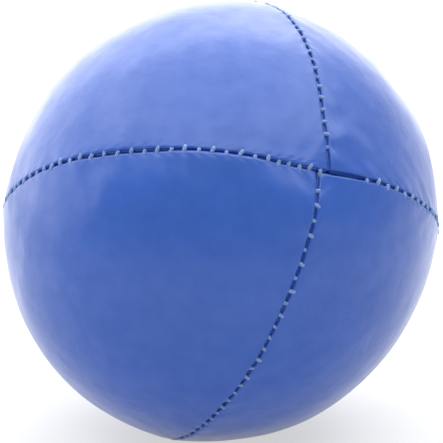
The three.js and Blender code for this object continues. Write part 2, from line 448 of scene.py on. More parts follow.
# %% Waves of the skin
WAVE_COUNT = 40
WAVE_STEEPNESS = 0.0044
SHORTEST_WAVE = 3
LONGEST_WAVE = 22
random = np.random.default_rng(11)
wave_headings = unit(random.normal(size=(WAVE_COUNT, 3)))
wave_lengths = np.geomspace(SHORTEST_WAVE, LONGEST_WAVE, WAVE_COUNT)
wave_starts = random.uniform(0, 2 * np.pi, WAVE_COUNT)


def waves(directions):
    """The sum of plane cosine waves, each as high as its length times one steepness.

    It is divided by the root of their number, so that more waves don't make a rougher skin.
    """
    phase = 2 * np.pi * RADIUS * (directions @ wave_headings.T) / wave_lengths + wave_starts
    return np.cos(phase) @ (WAVE_STEEPNESS * wave_lengths) / np.sqrt(WAVE_COUNT)


print(f"waves reach {np.abs(waves(wave_headings)).max():.2f} mm")

# %% [markdown]
# ## Puckers and dimples
#
# Thread tension gathers the edge of a panel into small puckers that slant away from the seam, and
# each stitch pulls the gap shut and presses a dimple where its needle went in. A bump in the
# material could only shade them. As terms of the radius they also show at the outline.

# %% Puckers and dimples
PUCKER_HEIGHT = 0.07
PUCKER_REACH = 4.5
PUCKER_SLANT = 0.35
PUCKER_LENGTHS = np.array((3.9, 5.3, 7.1, 9.7))
STITCH_GRIP = 0.5
DIMPLE_DEPTH = 0.06
DIMPLE_PLACE = 0.55
DIMPLE_WIDTH = 0.45
for seam in every_seam:
    seam["pucker_starts"] = random.uniform(0, 2 * np.pi, (2, len(PUCKER_LENGTHS)))


def puckers(arc, distance, starts):
    """The mean of cosines of the arc length, slanted by the distance.

    They fade as e to the minus distance over reach.
    """
    slanted = arc[..., None] + PUCKER_SLANT * distance[..., None]
    waved = np.cos(2 * np.pi * slanted / PUCKER_LENGTHS + starts).mean(-1)
    return PUCKER_HEIGHT * waved * np.exp(-distance / PUCKER_REACH)


def stitch_pull(arc, rungs):
    """The bell curve of the distance to the nearest stitch: one there, and near zero between."""
    after = np.clip(np.searchsorted(rungs, arc), 1, len(rungs) - 1)
    nearest = np.minimum(np.abs(arc - rungs[after - 1]), np.abs(arc - rungs[after]))
    return np.exp(-((nearest / STITCH_GRIP) ** 2))


def dimples(arc, distance, rungs):
    """The pull of the nearest stitch times a bell curve round the needle holes' distance."""
    beside = np.exp(-(((distance - DIMPLE_PLACE) / DIMPLE_WIDTH) ** 2))
    return DIMPLE_DEPTH * stitch_pull(arc, rungs) * beside


print("puckers of", PUCKER_LENGTHS, "mm")

# %% [markdown]
# ## A panel's edges and room
#
# Each panel is a leaf of leatherette whose two long edges are folded in along the stitch line. A box
# that is subdivided would never give the edge its roll, so the panel is a grid: columns run from
# pole to pole, and rows from one folded edge to the other. First come the columns and, for each
# edge, how far it lies from the middle of its seam.

# %% The panel's columns
PANEL_COLUMNS = 470
GAP_SEWN = 0.22
GAP_PULLED = 0.1
GAP_OPEN = 0.3


def panel_edges(half, seam, side):
    """The two long edges of a panel: the angle round the pole, the seam and the arc length on it.

    On a pair seam the arc is the radius times the angle along. On the closing seam the half's
    shift comes in as well, and on the left the arc is counted back from a full girth.
    """
    pair_edge = {"angle": half["pair_angle"], "seam": seam, "arc": lambda along: RADIUS * along}
    if side == "right":
        closing_edge = {"angle": 0, "arc": lambda along: RADIUS * (along + half["shift"])}
        return {**closing_edge, "seam": closing_seam}, pair_edge
    closing_edge = {"angle": np.pi, "arc": lambda along: RADIUS * (half["shift"] - along) % GIRTH}
    return pair_edge, {**closing_edge, "seam": closing_seam}


def lay_out(half, edges):
    """The angles along the panel and its half width; each edge gets its normal, arcs and inset.

    A panel starts where its half width, the radius times the sine of along times the tangent of
    half its angle, equals the gap. An inset is the gap of the seam, less the pull of its stitches.
    """
    half_angle = (edges[1]["angle"] - edges[0]["angle"]) / 2
    tip = np.arcsin(GAP_SEWN / np.tan(half_angle) / RADIUS)
    along = np.linspace(tip, np.pi - tip, PANEL_COLUMNS)[:, None]
    for edge, inward in zip(edges, (np.pi / 2, -np.pi / 2)):
        rungs = edge["seam"]["rungs"]
        edge["normal"] = direction_on(half, np.pi / 2, edge["angle"] + inward)
        edge["arcs"] = edge["arc"](along)
        edge["opened"] = edge["seam"]["opened"](edge["arcs"])
        gap = GAP_SEWN + (GAP_OPEN - GAP_SEWN) * edge["opened"]
        edge["inset"] = gap - GAP_PULLED * stitch_pull(edge["arcs"], rungs)
    return along, RADIUS * np.sin(along) * np.tan(half_angle)


along = lay_out(upper, panel_edges(upper, upper_seam, "right"))[0]
print(f"{len(along)} columns, the first {RADIUS * along[0, 0]:.2f} mm from the pole")

# %% [markdown]
# ## Crown and folded edge
#
# Across the ball a panel runs up the folded edge, round a small roll, over the crown, round the other
# roll and down again. The stiff seam allowances lift the crown along both edges. Below the roll
# the gap between two panels shuts like a quarter of an oval, which gives the dark groove.

# %% Crown and folded edge
SEAM_RISE = 0.38
RISE_REACH = 3.6
SEAM_ALLOWANCE = 5.0
EDGE_ROLL = 0.42
GAP_SHUT = 0.01
GROOVE_SEWN = 0.16
GROOVE_OPEN = 0.4
GROOVE_TURNS = np.radians((90, 70, 50, 30, 15))
ROLL_TURNS = np.radians(np.linspace(0, 90, 8))


def crown_radius(edges, directions):
    """The oval, the rise beside both seams, lumps, waves and puckers, less the dimples.

    A rise falls off as e to the minus distance over reach. Two rises a and b together count as
    one less the product of one less a and one less b, so that they don't double at the poles.
    """
    distances = [np.clip(RADIUS * (directions @ edge["normal"]), 0, None) for edge in edges]
    near = [np.exp(-distance / RISE_REACH) for distance in distances]
    height = SEAM_RISE * (1 - (1 - near[0]) * (1 - near[1])) + lumps(directions) + waves(directions)
    for k, (edge, distance) in enumerate(zip(edges, distances)):
        arc = np.broadcast_to(edge["arcs"], distance.shape)
        height = height + puckers(arc, distance, edge["seam"]["pucker_starts"][k])
        height = height - dimples(arc, distance, edge["seam"]["rungs"])
    return oval_radius(directions) + height


def folded_edge(half, edges, edge, along, rolled):
    """Rows from the end of the seam allowance up the groove and round the roll.

    Round the roll, the distance from the seam's plane grows with one less the cosine of the turn,
    and the radius with its sine. In the groove, the distance goes with the cosine and the depth
    with the sine. A point is the in-plane direction times the root of the squared radius less the
    squared distance, plus the distance times the seam's normal.
    """
    inset = edge["inset"]
    in_plane = direction_on(half, along, edge["angle"])
    distance = inset + rolled * (1 - np.cos(ROLL_TURNS))
    headings = unit(in_plane + edge["normal"] * (distance / RADIUS)[..., None])
    reach = crown_radius(edges, headings) - EDGE_ROLL + rolled * np.sin(ROLL_TURNS)
    groove = GAP_SHUT + (inset - GAP_SHUT) * np.cos(GROOVE_TURNS)
    groove_depth = GROOVE_SEWN + (GROOVE_OPEN - GROOVE_SEWN) * edge["opened"]
    groove_reach = reach[:, :1] - groove_depth * np.sin(GROOVE_TURNS)
    flange_end = np.full_like(inset, RADIUS - SEAM_ALLOWANCE)
    reach = np.hstack((flange_end, groove_reach, reach))
    distance = np.hstack((np.full_like(inset, GAP_SHUT), groove, distance))
    in_plane_length = np.sqrt(reach**2 - distance**2)
    return in_plane * in_plane_length[..., None] + edge["normal"] * distance[..., None]


print(f"a folded edge has {1 + len(GROOVE_TURNS) + len(ROLL_TURNS)} rows")

# %% [markdown]
# ## The whole panel and its wall
#
# The crown's rows blend from one roll to the other, closer together near the edges, where the form
# changes most. The leatherette is 0.8 mm thick. A Solidify modifier would crumple the narrow tips
# at the poles, so the wall is a second grid, pushed in along the normals, and it thins to nothing
# at the tips, where the real folds are pressed flat.

# %% The panel grid and its wall
WALL = 0.8
TIP_SHARE = 0.8
EVEN_SHARE = 0.35
CROWN_ROWS = 74
SHORTEST_NORMAL = 1e-15


def eased(count):
    """Shares from 0 to 1, closer together at both ends: a half cosine blended with even steps."""
    even = np.linspace(0, 1, count)
    return (1 - EVEN_SHARE) * (1 - np.cos(np.pi * even)) / 2 + EVEN_SHARE * even


def panel_grid(half, edges):
    """The panel's points on its grid, and its wall for each column.

    Between the rolls the directions are blended by their shares and take the crown's radius. Roll
    and wall are at most a share of the room that the column has.
    """
    along, half_width = lay_out(half, edges)
    room = np.clip(half_width - np.maximum(edges[0]["inset"], edges[1]["inset"]), 0, None)
    rolled = np.minimum(EDGE_ROLL, TIP_SHARE * room)
    wall = np.minimum(WALL, TIP_SHARE * room)
    wall[[0, -1]] = 0
    first, last = [folded_edge(half, edges, edge, along, rolled) for edge in edges]
    share = eased(CROWN_ROWS)[1:-1][None, :, None]
    between = unit((1 - share) * first[:, -1:] + share * last[:, -1:])
    between = between * (crown_radius(edges, between) - EDGE_ROLL + rolled)[..., None]
    return np.concatenate((first, between, last[:, ::-1]), axis=1), wall


def with_wall(skin, thickness):
    """The skin's grid and its copy pushed in, as one closed profile: over the skin and back inside.

    A point is pushed by the thickness along the normal, which is the cross product of the steps
    along and across the grid, over its length.
    """
    normals = np.cross(np.gradient(skin, axis=0), np.gradient(skin, axis=1))
    lengths = np.linalg.norm(normals, axis=-1, keepdims=True)
    inside = skin - thickness * normals / np.maximum(lengths, SHORTEST_NORMAL)
    return np.concatenate((skin, inside[:, ::-1]), axis=1)


print(f"the crown has {CROWN_ROWS - 2} rows and a wall of {WALL} mm")

# %% [markdown]
# ## From points to pieces
#
# A grid of points becomes a mesh by joining each point with its neighbours. Where a grid closes to
# a point, as a panel does at its poles, the doubles are merged, so that no hole or zero-width face
# is left. A value that a material needs for each point goes along as an attribute, and a pattern
# that follows the surface gets a UV map.

# %% Grid to mesh
WELD_DISTANCE = 1e-7


def grid_faces(columns, rows, closed=False):
    """Quads between neighbouring columns and rows; a closed grid joins its last row to the first."""
    column = np.arange(columns - 1)[:, None] * rows
    row = np.arange(rows if closed else rows - 1)[None, :]
    after = (row + 1) % rows
    corners = (column + row, column + rows + row, column + rows + after, column + after)
    return np.stack(np.broadcast_arrays(*corners), axis=-1).reshape(-1, 4)


def new_piece(name, points, faces, values=None, uv=None):
    """A smooth mesh object on the root body, from points in metres and a list of faces.

    Values are attributes of the points, and uv has a place for each point. Doubles are merged.
    """
    mesh = bpy.data.meshes.new(name)
    mesh.from_pydata(points.reshape(-1, 3).tolist(), [], faces)
    for label, value in (values or {}).items():
        attribute = mesh.attributes.new(label, "FLOAT", "POINT")
        attribute.data.foreach_set("value", value.astype(np.float32).ravel())
    if uv is not None:
        corners = np.zeros(len(mesh.loops), int)
        mesh.loops.foreach_get("vertex_index", corners)
        layer = mesh.uv_layers.new(name="UVMap")
        layer.data.foreach_set("uv", uv.reshape(-1, 2)[corners].astype(np.float32).ravel())
    welded = bmesh.new()
    welded.from_mesh(mesh)
    bmesh.ops.remove_doubles(welded, verts=welded.verts, dist=WELD_DISTANCE)
    welded.to_mesh(mesh)
    welded.free()
    mesh.polygons.foreach_set("use_smooth", np.ones(len(mesh.polygons), bool))
    piece = bpy.data.objects.new(name, mesh)
    bpy.context.scene.collection.objects.link(piece)
    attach(piece, "root")
    print(name, len(mesh.polygons), "faces")
    return piece


print("a grid of 3 by 4 points has", len(grid_faces(3, 4)), "faces")

# %% [markdown]
# ## The four panels
#
# The two halves and the two sides of each are cut from the same pattern, so one loop makes all four.
# The lower half is a mirror image, which turns its faces inside out, and they are turned back.

# %% The four panels
panels = {}
for half_name, half, seam in (("upper", upper, upper_seam), ("lower", lower, lower_seam)):
    outward = half["away"][2]
    for side in ("right", "left"):
        skin, wall = panel_grid(half, panel_edges(half, seam, side))
        shell = with_wall(to_row(swayed(skin)), outward * METRES * wall[..., None])
        faces = grid_faces(*shell.shape[:2], closed=True)
        if outward < 0:
            faces = faces[:, ::-1]
        name = f"leatherette_{half_name}_{side}"
        panel = new_piece(name, shell, faces.tolist())
        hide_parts(f"panel_{half_name}_{side}")
        panels[name] = panel

# %% [markdown]
# ## The path of a stitch
#
# A machine stitch crosses the seam through a pair of needle holes, runs along the back of one
# panel, crosses again, and so on: a square wave. On the finished ball only the crossings show, as
# pale rungs in the dark groove. The path could be drawn by hand. Five places for one stitch,
# repeated for all of them, take less work, and a smooth curve goes through them.

# %% The path of a stitch
RUNG_SPREAD = 0.34
RUNG_SAG = 0.1
RUNG_LEAD = 0.04
HOLE_ASIDE = 1.25
HOLE_DEPTH = 1.25
HOLE_LEAD = 0.22
SLANT_REACH = 0.6
STEPS_PER_PLACE = 6
across_places = np.array((-HOLE_ASIDE, -RUNG_SPREAD, 0.0, RUNG_SPREAD, HOLE_ASIDE))
lead_places = np.array((-HOLE_LEAD, -RUNG_LEAD, 0.0, RUNG_LEAD, HOLE_LEAD))
deep_places = np.array((HOLE_DEPTH, RUNG_SAG, 0.0, RUNG_SAG, HOLE_DEPTH))
rung_places = np.array((0.0, 1.0, 1.0, 1.0, 0.0))


def stitch_sides(rungs):
    """Minus one and one by turns, because each stitch crosses the seam the other way."""
    return np.where(np.arange(len(rungs)) % 2, 1.0, -1.0)


def stitch_path(rungs, depth, slants, shifts, lifts):
    """Places of the thread as arc length, offset across the seam and depth, in stitch order.

    Each stitch gives a rising place, a rung of three places and a falling place. Slants lean a
    rung along the seam, shifts move it across the seam, and lifts bring it nearer the surface.
    """
    across = stitch_sides(rungs)[:, None] * across_places
    arc = rungs[:, None] + slants[:, None] * np.clip(across, -SLANT_REACH, SLANT_REACH) + lead_places
    offset = across + shifts[:, None] * rung_places
    deep = deep_places + depth - lifts[:, None]
    return np.stack((arc, offset, deep), axis=-1).reshape(-1, 3)


def smooth_through(places):
    """A curve through the places: a cubic between two, with the slope at each from its neighbours.

    The slope is half the step from the place before to the place after.
    """
    padded_places = np.vstack((2 * places[0] - places[1], places, 2 * places[-1] - places[-2]))
    before, start, end, after = (padded_places[k : len(padded_places) - 3 + k, None] for k in range(4))
    t = np.linspace(0, 1, STEPS_PER_PLACE, endpoint=False)[None, :, None]
    cubic = start + t * (end - before) / 2
    cubic = cubic + t**2 * (before - 2.5 * start + 2 * end - after / 2)
    cubic = cubic + t**3 * (1.5 * start - 1.5 * end + (after - before) / 2)
    return np.vstack((cubic.reshape(-1, places.shape[1]), places[-1:]))


print(len(across_places) * STEPS_PER_PLACE, "steps of thread to a stitch")

# %% [markdown]
# ## Twisted thread
#
# Sewing thread is three plies twisted together. A curve with a bevel would be a plain hose. Here a
# ring with three lobes is carried along the path and turns as it goes, so the plies are in the
# mesh. The ring's first axis leans a little, because straight out of the ball it would run along
# the thread where the thread rises from a hole.

# %% The tube and its place
PLIES = 3
PLY_DEPTH = 0.14
TWIST_LENGTH = 1.3
TUBE_SIDES = 16
LEAN_STEPS = 7
LEAN_SHARE = 0.2


def on_seam(seam, places):
    """Arc, offset and depth to a point.

    The direction at the arc times the crown's radius less the depth, plus the offset along the
    seam's normal.
    """
    direction = seam["direction"](places[:, 0])
    reach = oval_radius(direction) + SEAM_RISE + lumps(direction) + waves(direction) - places[:, 2]
    return direction * reach[:, None] + places[:, 1:2] * seam["normal"]


def tube(centre, outward, thread_radius):
    """A lobed ring carried along the centre line.

    The radius swells with the cosine of plies times the turned angle, and the ring turns once per
    twist length. Its first axis is the part of a leaning outward direction that is square to the
    line, and the second is square to both.
    """
    tangent = unit(np.gradient(centre, axis=0))
    leaning = unit(outward + np.roll(tangent, LEAN_STEPS, axis=0) * LEAN_SHARE)
    first = unit(leaning - (leaning * tangent).sum(1, keepdims=True) * tangent)
    second = np.cross(tangent, first)
    travelled = np.concatenate(([0], np.cumsum(np.linalg.norm(np.diff(centre, axis=0), axis=1))))
    angle = 2 * np.pi * np.arange(TUBE_SIDES) / TUBE_SIDES
    lobes = np.cos(PLIES * (angle + 2 * np.pi * travelled[:, None] / TWIST_LENGTH))
    ring_radius = thread_radius * (1 - PLY_DEPTH / 2 + PLY_DEPTH / 2 * lobes)
    ring_radius[[0, -1]] = 0
    ring = np.cos(angle)[:, None] * first[:, None] + np.sin(angle)[:, None] * second[:, None]
    uv = np.stack(np.broadcast_arrays(travelled[:, None] / TWIST_LENGTH, angle / (2 * np.pi)), axis=-1)
    return centre[:, None] + ring_radius[..., None] * ring, uv


def new_thread(name, seam, places, thread_radius, node):
    """A thread piece: places to a smooth curve, the curve to the ball, a tube round it."""
    centre = swayed(on_seam(seam, smooth_through(places)))
    points, uv = tube(centre, unit(centre), thread_radius)
    faces = grid_faces(*points.shape[:2], closed=True)[:, ::-1]
    thread = new_piece(name, to_row(points), faces.tolist(), uv=uv)
    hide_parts(node)
    return thread


print(f"{PLIES} plies, one turn in {TWIST_LENGTH} mm")

# %% [markdown]
# ## The machine seams
#
# No two stitches of a real seam are alike. Each rung leans, sits and lifts a little differently, by
# seeded draws round the seam's own average. Right of the opening the thread of the closing seam is
# looser, and its rungs sit nearer the lower panels. The first rung of a seam may sink at the pole.

# %% Machine threads
THREAD_RADIUS = 0.3
RUNG_DEPTH = 0.3
SLANT_SCATTER = 0.12
SHIFT_SCATTER = 0.04
LIFT_SCATTER = 0.05
LIFT_BY_SIDE = 0.04
LOOSE_MIDDLE = 16.0
LOOSE_REACH = 12.0
LOOSE_SHIFT = -0.14
LOOSE_LIFT = 0.04
MACHINE_SEAMS = {
    "upper_seam": {"slant": 0.1, "shift": 0.12, "by_side": 0.05, "lift": 0.0, "sink": 0.15, "loose": 0},
    "lower_seam": {"slant": 0.1, "shift": 0.12, "by_side": 0.05, "lift": -0.07, "sink": 0.0, "loose": 0},
    "closing_seam": {"slant": 0.2, "shift": -0.04, "by_side": 0.17, "lift": 0.04, "sink": 0.2, "loose": 1},
}

machine_threads = []
for seam, (name, sewn) in zip(every_seam, MACHINE_SEAMS.items()):
    rungs = seam["rungs"]
    side = stitch_sides(rungs)
    loose = sewn["loose"] * np.exp(-(((rungs - LOOSE_MIDDLE) / LOOSE_REACH) ** 2))
    slants = sewn["slant"] + random.normal(0, SLANT_SCATTER, len(rungs))
    shifts = sewn["shift"] + sewn["by_side"] * side + random.normal(0, SHIFT_SCATTER, len(rungs))
    lifts = sewn["lift"] + LIFT_BY_SIDE * side + random.normal(0, LIFT_SCATTER, len(rungs))
    lifts[0] -= sewn["sink"]
    places = stitch_path(rungs, RUNG_DEPTH, slants, shifts + LOOSE_SHIFT * loose, lifts + LOOSE_LIFT * loose)
    thread = new_thread(f"thread_{name}", seam, places, THREAD_RADIUS, f"{name}_thread")
    machine_threads.append(thread)

# %% [markdown]
# ## The opening sewn shut
#
# After filling, the opening is closed by hand with ladder stitches that lie deep in the fold, so
# they hardly show. They cross the seam as machine stitches do, so the same path makes them, with
# a thinner thread, further in, and with nothing left to chance.

# %% The hand stitches
HAND_STRETCHES = ((2.2, 5.2, 2),)
HAND_DEPTH = 1.9
HAND_RADIUS = 0.2

hand_rungs = stitch_places(HAND_STRETCHES)
no_scatter = np.zeros(len(hand_rungs))
places = stitch_path(hand_rungs, HAND_DEPTH, no_scatter, no_scatter, no_scatter)
hand_thread = new_thread(
    "thread_hand_closing", closing_seam, places, HAND_RADIUS, "hand_closing_thread"
)

# %% [markdown]
# ## The core of the seed
#
# Nobody sees the seed, but a part that is taken apart should have it. Real millet is thousands of
# grains, too many to make one by one. A lobed core fills each panel's hollow and sinks to a channel
# under each seam, where the allowances stand in. One layer of grains will lie on it.

# %% The core
FILL_INSET = 2.3
FILL_SLOPE = 3.5
FILL_CLEARANCE = 0.3
GRAIN_RADIUS = 0.95
CORE_COLUMNS = 241
CORE_ROWS = 80


def seam_distances(directions):
    """The distance to the nearest seam plane of its own half: radius times the least cosine."""
    on_upper = directions[..., 2] > 0
    pair = np.where(on_upper, directions @ upper_seam["normal"], directions @ lower_seam["normal"])
    return RADIUS * np.minimum(np.abs(directions[..., 2]), np.abs(pair))


def fill_radius(directions):
    """The skin's inside less the clearance and a grain; it sinks by a smooth step near a seam.

    There it is as far inside the ends of the seam allowances.
    """
    lobe = oval_radius(directions) - WALL - FILL_CLEARANCE - 2 * GRAIN_RADIUS
    channel = RADIUS - SEAM_ALLOWANCE - FILL_CLEARANCE - 2 * GRAIN_RADIUS
    risen = smooth_step(seam_distances(directions), FILL_INSET, FILL_INSET + FILL_SLOPE)
    return channel + (lobe - channel) * risen


def round_directions(height, turn):
    """Directions on a sphere: the height, and beside it the cosine and sine of the turn.

    These two are scaled by the root of one less the squared height.
    """
    level = np.sqrt(1 - height**2)
    return np.stack(np.broadcast_arrays(level * np.cos(turn), level * np.sin(turn), height), axis=-1)


latitude = np.linspace(-np.pi / 2, np.pi / 2, CORE_ROWS)[None, :]
longitude = np.linspace(0, 2 * np.pi, CORE_COLUMNS)[:, None]
core_directions = round_directions(np.sin(latitude), longitude)
core_points = (core_directions * fill_radius(core_directions)[..., None]).reshape(-1, 3)
core_faces = grid_faces(CORE_COLUMNS, CORE_ROWS)
print("a core of", len(core_faces), "faces")

# %% [markdown]
# ## Places for the grains
#
# Seed that is thrown at random leaves heaps and holes. Evenly spread places come from the golden
# angle: each grain is one golden angle further round and one step lower than the last, as seeds
# sit in a sunflower. Grains that would stand in a seam channel are left out.

# %% Places for the grains
GRAIN_COUNT = 4200
GRAIN_SEAT = 0.6
GOLDEN_ANGLE = np.pi * (3 - np.sqrt(5))

grain_number = np.arange(GRAIN_COUNT)
grain_height = 1 - (2 * grain_number + 1) / GRAIN_COUNT
grain_directions = round_directions(grain_height, GOLDEN_ANGLE * grain_number)
clear_of_seams = seam_distances(grain_directions) > FILL_INSET + GRAIN_RADIUS
grain_directions = grain_directions[clear_of_seams]
grain_reach = fill_radius(grain_directions) + GRAIN_SEAT * GRAIN_RADIUS
grain_places = grain_directions * grain_reach[:, None]
print(len(grain_places), "grains")

# %% [markdown]
# ## One grain, many times
#
# A grain is a ball of twenty triangles, which is enough for a thing two millimetres across. Its corners
# are those of three crossed golden rectangles, and a face is any three corners that are neighbours.
# Copies differ in size and tone.

# %% The grains
GOLDEN_RATIO = (1 + np.sqrt(5)) / 2
NEIGHBOUR_COSINE = 0.4
SMALLEST_GRAIN = 0.85

rectangle = [(0, a, b * GOLDEN_RATIO) for a in (-1, 1) for b in (-1, 1)]
corners = unit([np.roll(corner, k) for corner in rectangle for k in range(3)])
near = corners @ corners.T > NEIGHBOUR_COSINE
triples = np.argwhere(near[:, :, None] & near[None, :, :] & near[:, None, :])
triples = triples[(np.diff(triples, axis=1) > 0).all(axis=1)]
a, b, c = (corners[triples[:, k]] for k in range(3))
outside = (np.cross(a, b) * c).sum(1) > 0
triples = np.where(outside[:, None], triples, triples[:, ::-1])

grain_sizes = GRAIN_RADIUS * random.uniform(SMALLEST_GRAIN, 1.0, (len(grain_places), 1, 1))
grain_points = (grain_places[:, None] + grain_sizes * corners).reshape(-1, 3)
grain_starts = len(corners) * np.arange(len(grain_places))[:, None, None]
grain_faces = (triples[None] + grain_starts).reshape(-1, 3)
grain_tones = np.repeat(random.uniform(0, 1, len(grain_places)), len(corners))
print(len(triples), "faces to a grain")

# %% [markdown]
# ## The fill as one piece
#
# Core and grains move together, so they are one mesh. Over the settled flat the seed lies level, a
# wall and a clearance above the floor.

# %% The fill piece
CORE_TONE = 0.5

fill_points = np.vstack((core_points, grain_points)) @ lie.T
fill_points[:, 2] = np.maximum(fill_points[:, 2] + rest_height, WALL + FILL_CLEARANCE)
fill_faces = core_faces.tolist() + (grain_faces + len(core_points)).tolist()
fill_tones = np.concatenate((np.full(len(core_points), CORE_TONE), grain_tones))
seed = new_piece("millet_fill", fill_points * METRES, fill_faces, {"grain_tone": fill_tones})
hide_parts("seed_fill")

# %% [markdown]
# ## Cut sizes
#
# Leatherette comes flat. A panel is as wide as its share of the girth plus two seam allowances, and
# as long as half the girth plus a little at the tips. Its area is twice the squared radius times
# its angle, plus the two allowances. These sizes are not worked out here: the loop only finds each
# panel's half.

# %% Each panel's half
for name, panel in panels.items():
    half = upper if "upper" in name else lower

# %% [markdown]
# ## Working with nodes
#
# A finish is a tree of nodes. Wiring each node by hand takes five lines, so a few helpers add a node
# with its values and links in one. Effects that several finishes share become node groups. A
# group only puts out values, and the shader stays in the material, where constants are set on its
# own sockets.

# %% Node helpers
VECTOR = "NodeSocketVector"
FLOAT = "NodeSocketFloat"


def add_node(tree, kind, inputs=None, **settings):
    """A node of a kind with its settings, and inputs given as values or as sockets to link from."""
    node = tree.nodes.new(kind)
    for label, value in settings.items():
        setattr(node, label, value)
    for label, value in (inputs or {}).items():
        if isinstance(value, bpy.types.NodeSocket):
            tree.links.new(value, node.inputs[label])
        else:
            node.inputs[label].default_value = value
    return node


def worked_out(tree, operation, *values):
    """The result of one math operation on numbers or sockets."""
    return add_node(tree, "ShaderNodeMath", dict(enumerate(values)), operation=operation).outputs[0]


def ramp(tree, value, span, results, **settings):
    """The first result below the span, the second above it, and a steady change between."""
    inputs = {"Value": value, "From Min": span[0], "From Max": span[1]}
    inputs |= {"To Min": results[0], "To Max": results[1]}
    return add_node(tree, "ShaderNodeMapRange", inputs, **settings).outputs["Result"]


def new_group(name, inputs, outputs):
    """An empty group: inputs as (name, kind, default), outputs as names of plain values."""
    group = bpy.data.node_groups.new(name, "ShaderNodeTree")
    for label, kind, default in inputs:
        socket = group.interface.new_socket(label, in_out="INPUT", socket_type=kind)
        if default is not None:
            socket.default_value = default
    for label in outputs:
        group.interface.new_socket(label, in_out="OUTPUT", socket_type=FLOAT)
    given = group.nodes.new("NodeGroupInput").outputs
    out = group.nodes.new("NodeGroupOutput").inputs
    return group, given, out


def placed(tree, group, inputs):
    """The outputs of a group that is placed in a material with its own values."""
    return add_node(tree, "ShaderNodeGroup", inputs, node_tree=group).outputs


def new_material(name):
    """A material with an empty tree, its shader and its output."""
    material = bpy.data.materials.new(name)
    material.use_nodes = True
    tree = material.node_tree
    tree.nodes.clear()
    shader = tree.nodes.new("ShaderNodeBsdfPrincipled")
    output = tree.nodes.new("ShaderNodeOutputMaterial")
    tree.links.new(shader.outputs[0], output.inputs["Surface"])
    return material, tree, shader


def tinted(tree, colour, tone):
    """A plain colour times a tone."""
    return add_node(tree, "ShaderNodeVectorMath", {0: colour, 1: tone}, operation="MULTIPLY").outputs[0]


print("helpers for", bpy.app.version_string)

# %% [markdown]
# ## Uneven tone
#
# No dyed thing is one even colour. This group is cloudy noise round one: multiplied with a colour it
# makes it a little lighter here and darker there. Leatherette, thread and seed all use it, each
# at its own scale and depth.

# %% Uneven tone
CLOUD_DETAIL = 4.0

uneven_tone, given, out = new_group(
    "uneven tone", [("Place", VECTOR, None), ("Scale", FLOAT, 60.0), ("Depth", FLOAT, 0.1)], ["Tone"]
)
cloud_inputs = {"Vector": given["Place"], "Scale": given["Scale"], "Detail": CLOUD_DETAIL}
cloud = add_node(uneven_tone, "ShaderNodeTexNoise", cloud_inputs).outputs["Fac"]
centred = worked_out(uneven_tone, "SUBTRACT", cloud, 0.5)
scaled = worked_out(uneven_tone, "MULTIPLY", centred, given["Depth"])
uneven_tone.links.new(worked_out(uneven_tone, "ADD", scaled, 1.0), out["Tone"])
print("group:", uneven_tone.name)

# %% [markdown]
# ## Pebble grain
#
# Leatherette is pressed with a steel roll that leaves fine pebbles, and a seed's husk is as finely
# rough. Cells that round off towards their borders give the pebbles, and a little noise on top
# keeps them from looking alike.

# %% Pebble grain
PEBBLE_EDGE = 0.75
PEBBLE_NOISE = 0.35
PEBBLE_DETAIL = 2.0

pebble_grain, given, out = new_group(
    "pebble grain", [("Place", VECTOR, None), ("Cells", FLOAT, 2600.0)], ["Height"]
)
cell_inputs = {"Vector": given["Place"], "Scale": given["Cells"]}
cells = add_node(pebble_grain, "ShaderNodeTexVoronoi", cell_inputs, feature="F1").outputs["Distance"]
fine_inputs = {**cell_inputs, "Detail": PEBBLE_DETAIL}
fine = add_node(pebble_grain, "ShaderNodeTexNoise", fine_inputs).outputs["Fac"]
hump = ramp(pebble_grain, cells, (0.0, PEBBLE_EDGE), (1.0, 0.0), interpolation_type="SMOOTHSTEP")
rough_hump = worked_out(pebble_grain, "MULTIPLY_ADD", fine, PEBBLE_NOISE, hump)
pebble_grain.links.new(rough_hump, out["Height"])
print("group:", pebble_grain.name)

# %% [markdown]
# ## Twist fibres
#
# A ply of thread is itself many fibres that run round it. The UV map of a thread counts twists along
# it and turns round it, so their sum is the same all along one ply. Cosines of that sum give the
# plies and, nine to a ply, the fibres, and the valley between two plies gets a painted shade: its
# colour is darkened there.

# %% Twist fibres
FIBRES_PER_PLY = 9.0
FIBRE_HEIGHT = 0.2
# Painted shade: the colour in the valley between plies is multiplied by this.
VALLEY_PAINTED_SHADE = 0.78

twist_fibres, given, out = new_group(
    "twist fibres", [("UV", VECTOR, None), ("Plies", FLOAT, 3.0)], ["Height", "Painted Shade"]
)
parted = add_node(twist_fibres, "ShaderNodeSeparateXYZ", {0: given["UV"]}).outputs
slanted = worked_out(twist_fibres, "ADD", parted["X"], parted["Y"])
per_ply = worked_out(twist_fibres, "MULTIPLY", slanted, given["Plies"])
turns = worked_out(twist_fibres, "MULTIPLY", per_ply, 2 * np.pi)
ply = worked_out(twist_fibres, "COSINE", turns)
fibre = worked_out(twist_fibres, "COSINE", worked_out(twist_fibres, "MULTIPLY", turns, FIBRES_PER_PLY))
fibred = worked_out(twist_fibres, "MULTIPLY_ADD", fibre, FIBRE_HEIGHT, ply)
twist_fibres.links.new(fibred, out["Height"])
# Painted shade: a darker colour in the valley between two plies.
twist_fibres.links.new(ramp(twist_fibres, ply, (-1.0, 1.0), (VALLEY_PAINTED_SHADE, 1.0)), out["Painted Shade"])
print("group:", twist_fibres.name)

# %% [markdown]
# ## Leatherette
#
# Leatherette is cloth with a coloured plastic skin: royal blue, semi-gloss, with a fine pressed
# grain. Handling has made it uneven. Its colour has broad clouds and a finer mottling, its polish
# follows the clouds, and its lacquer is thicker in some places than in others. The same pattern
# as the lacquer's makes the shallow creases that break up the highlights.

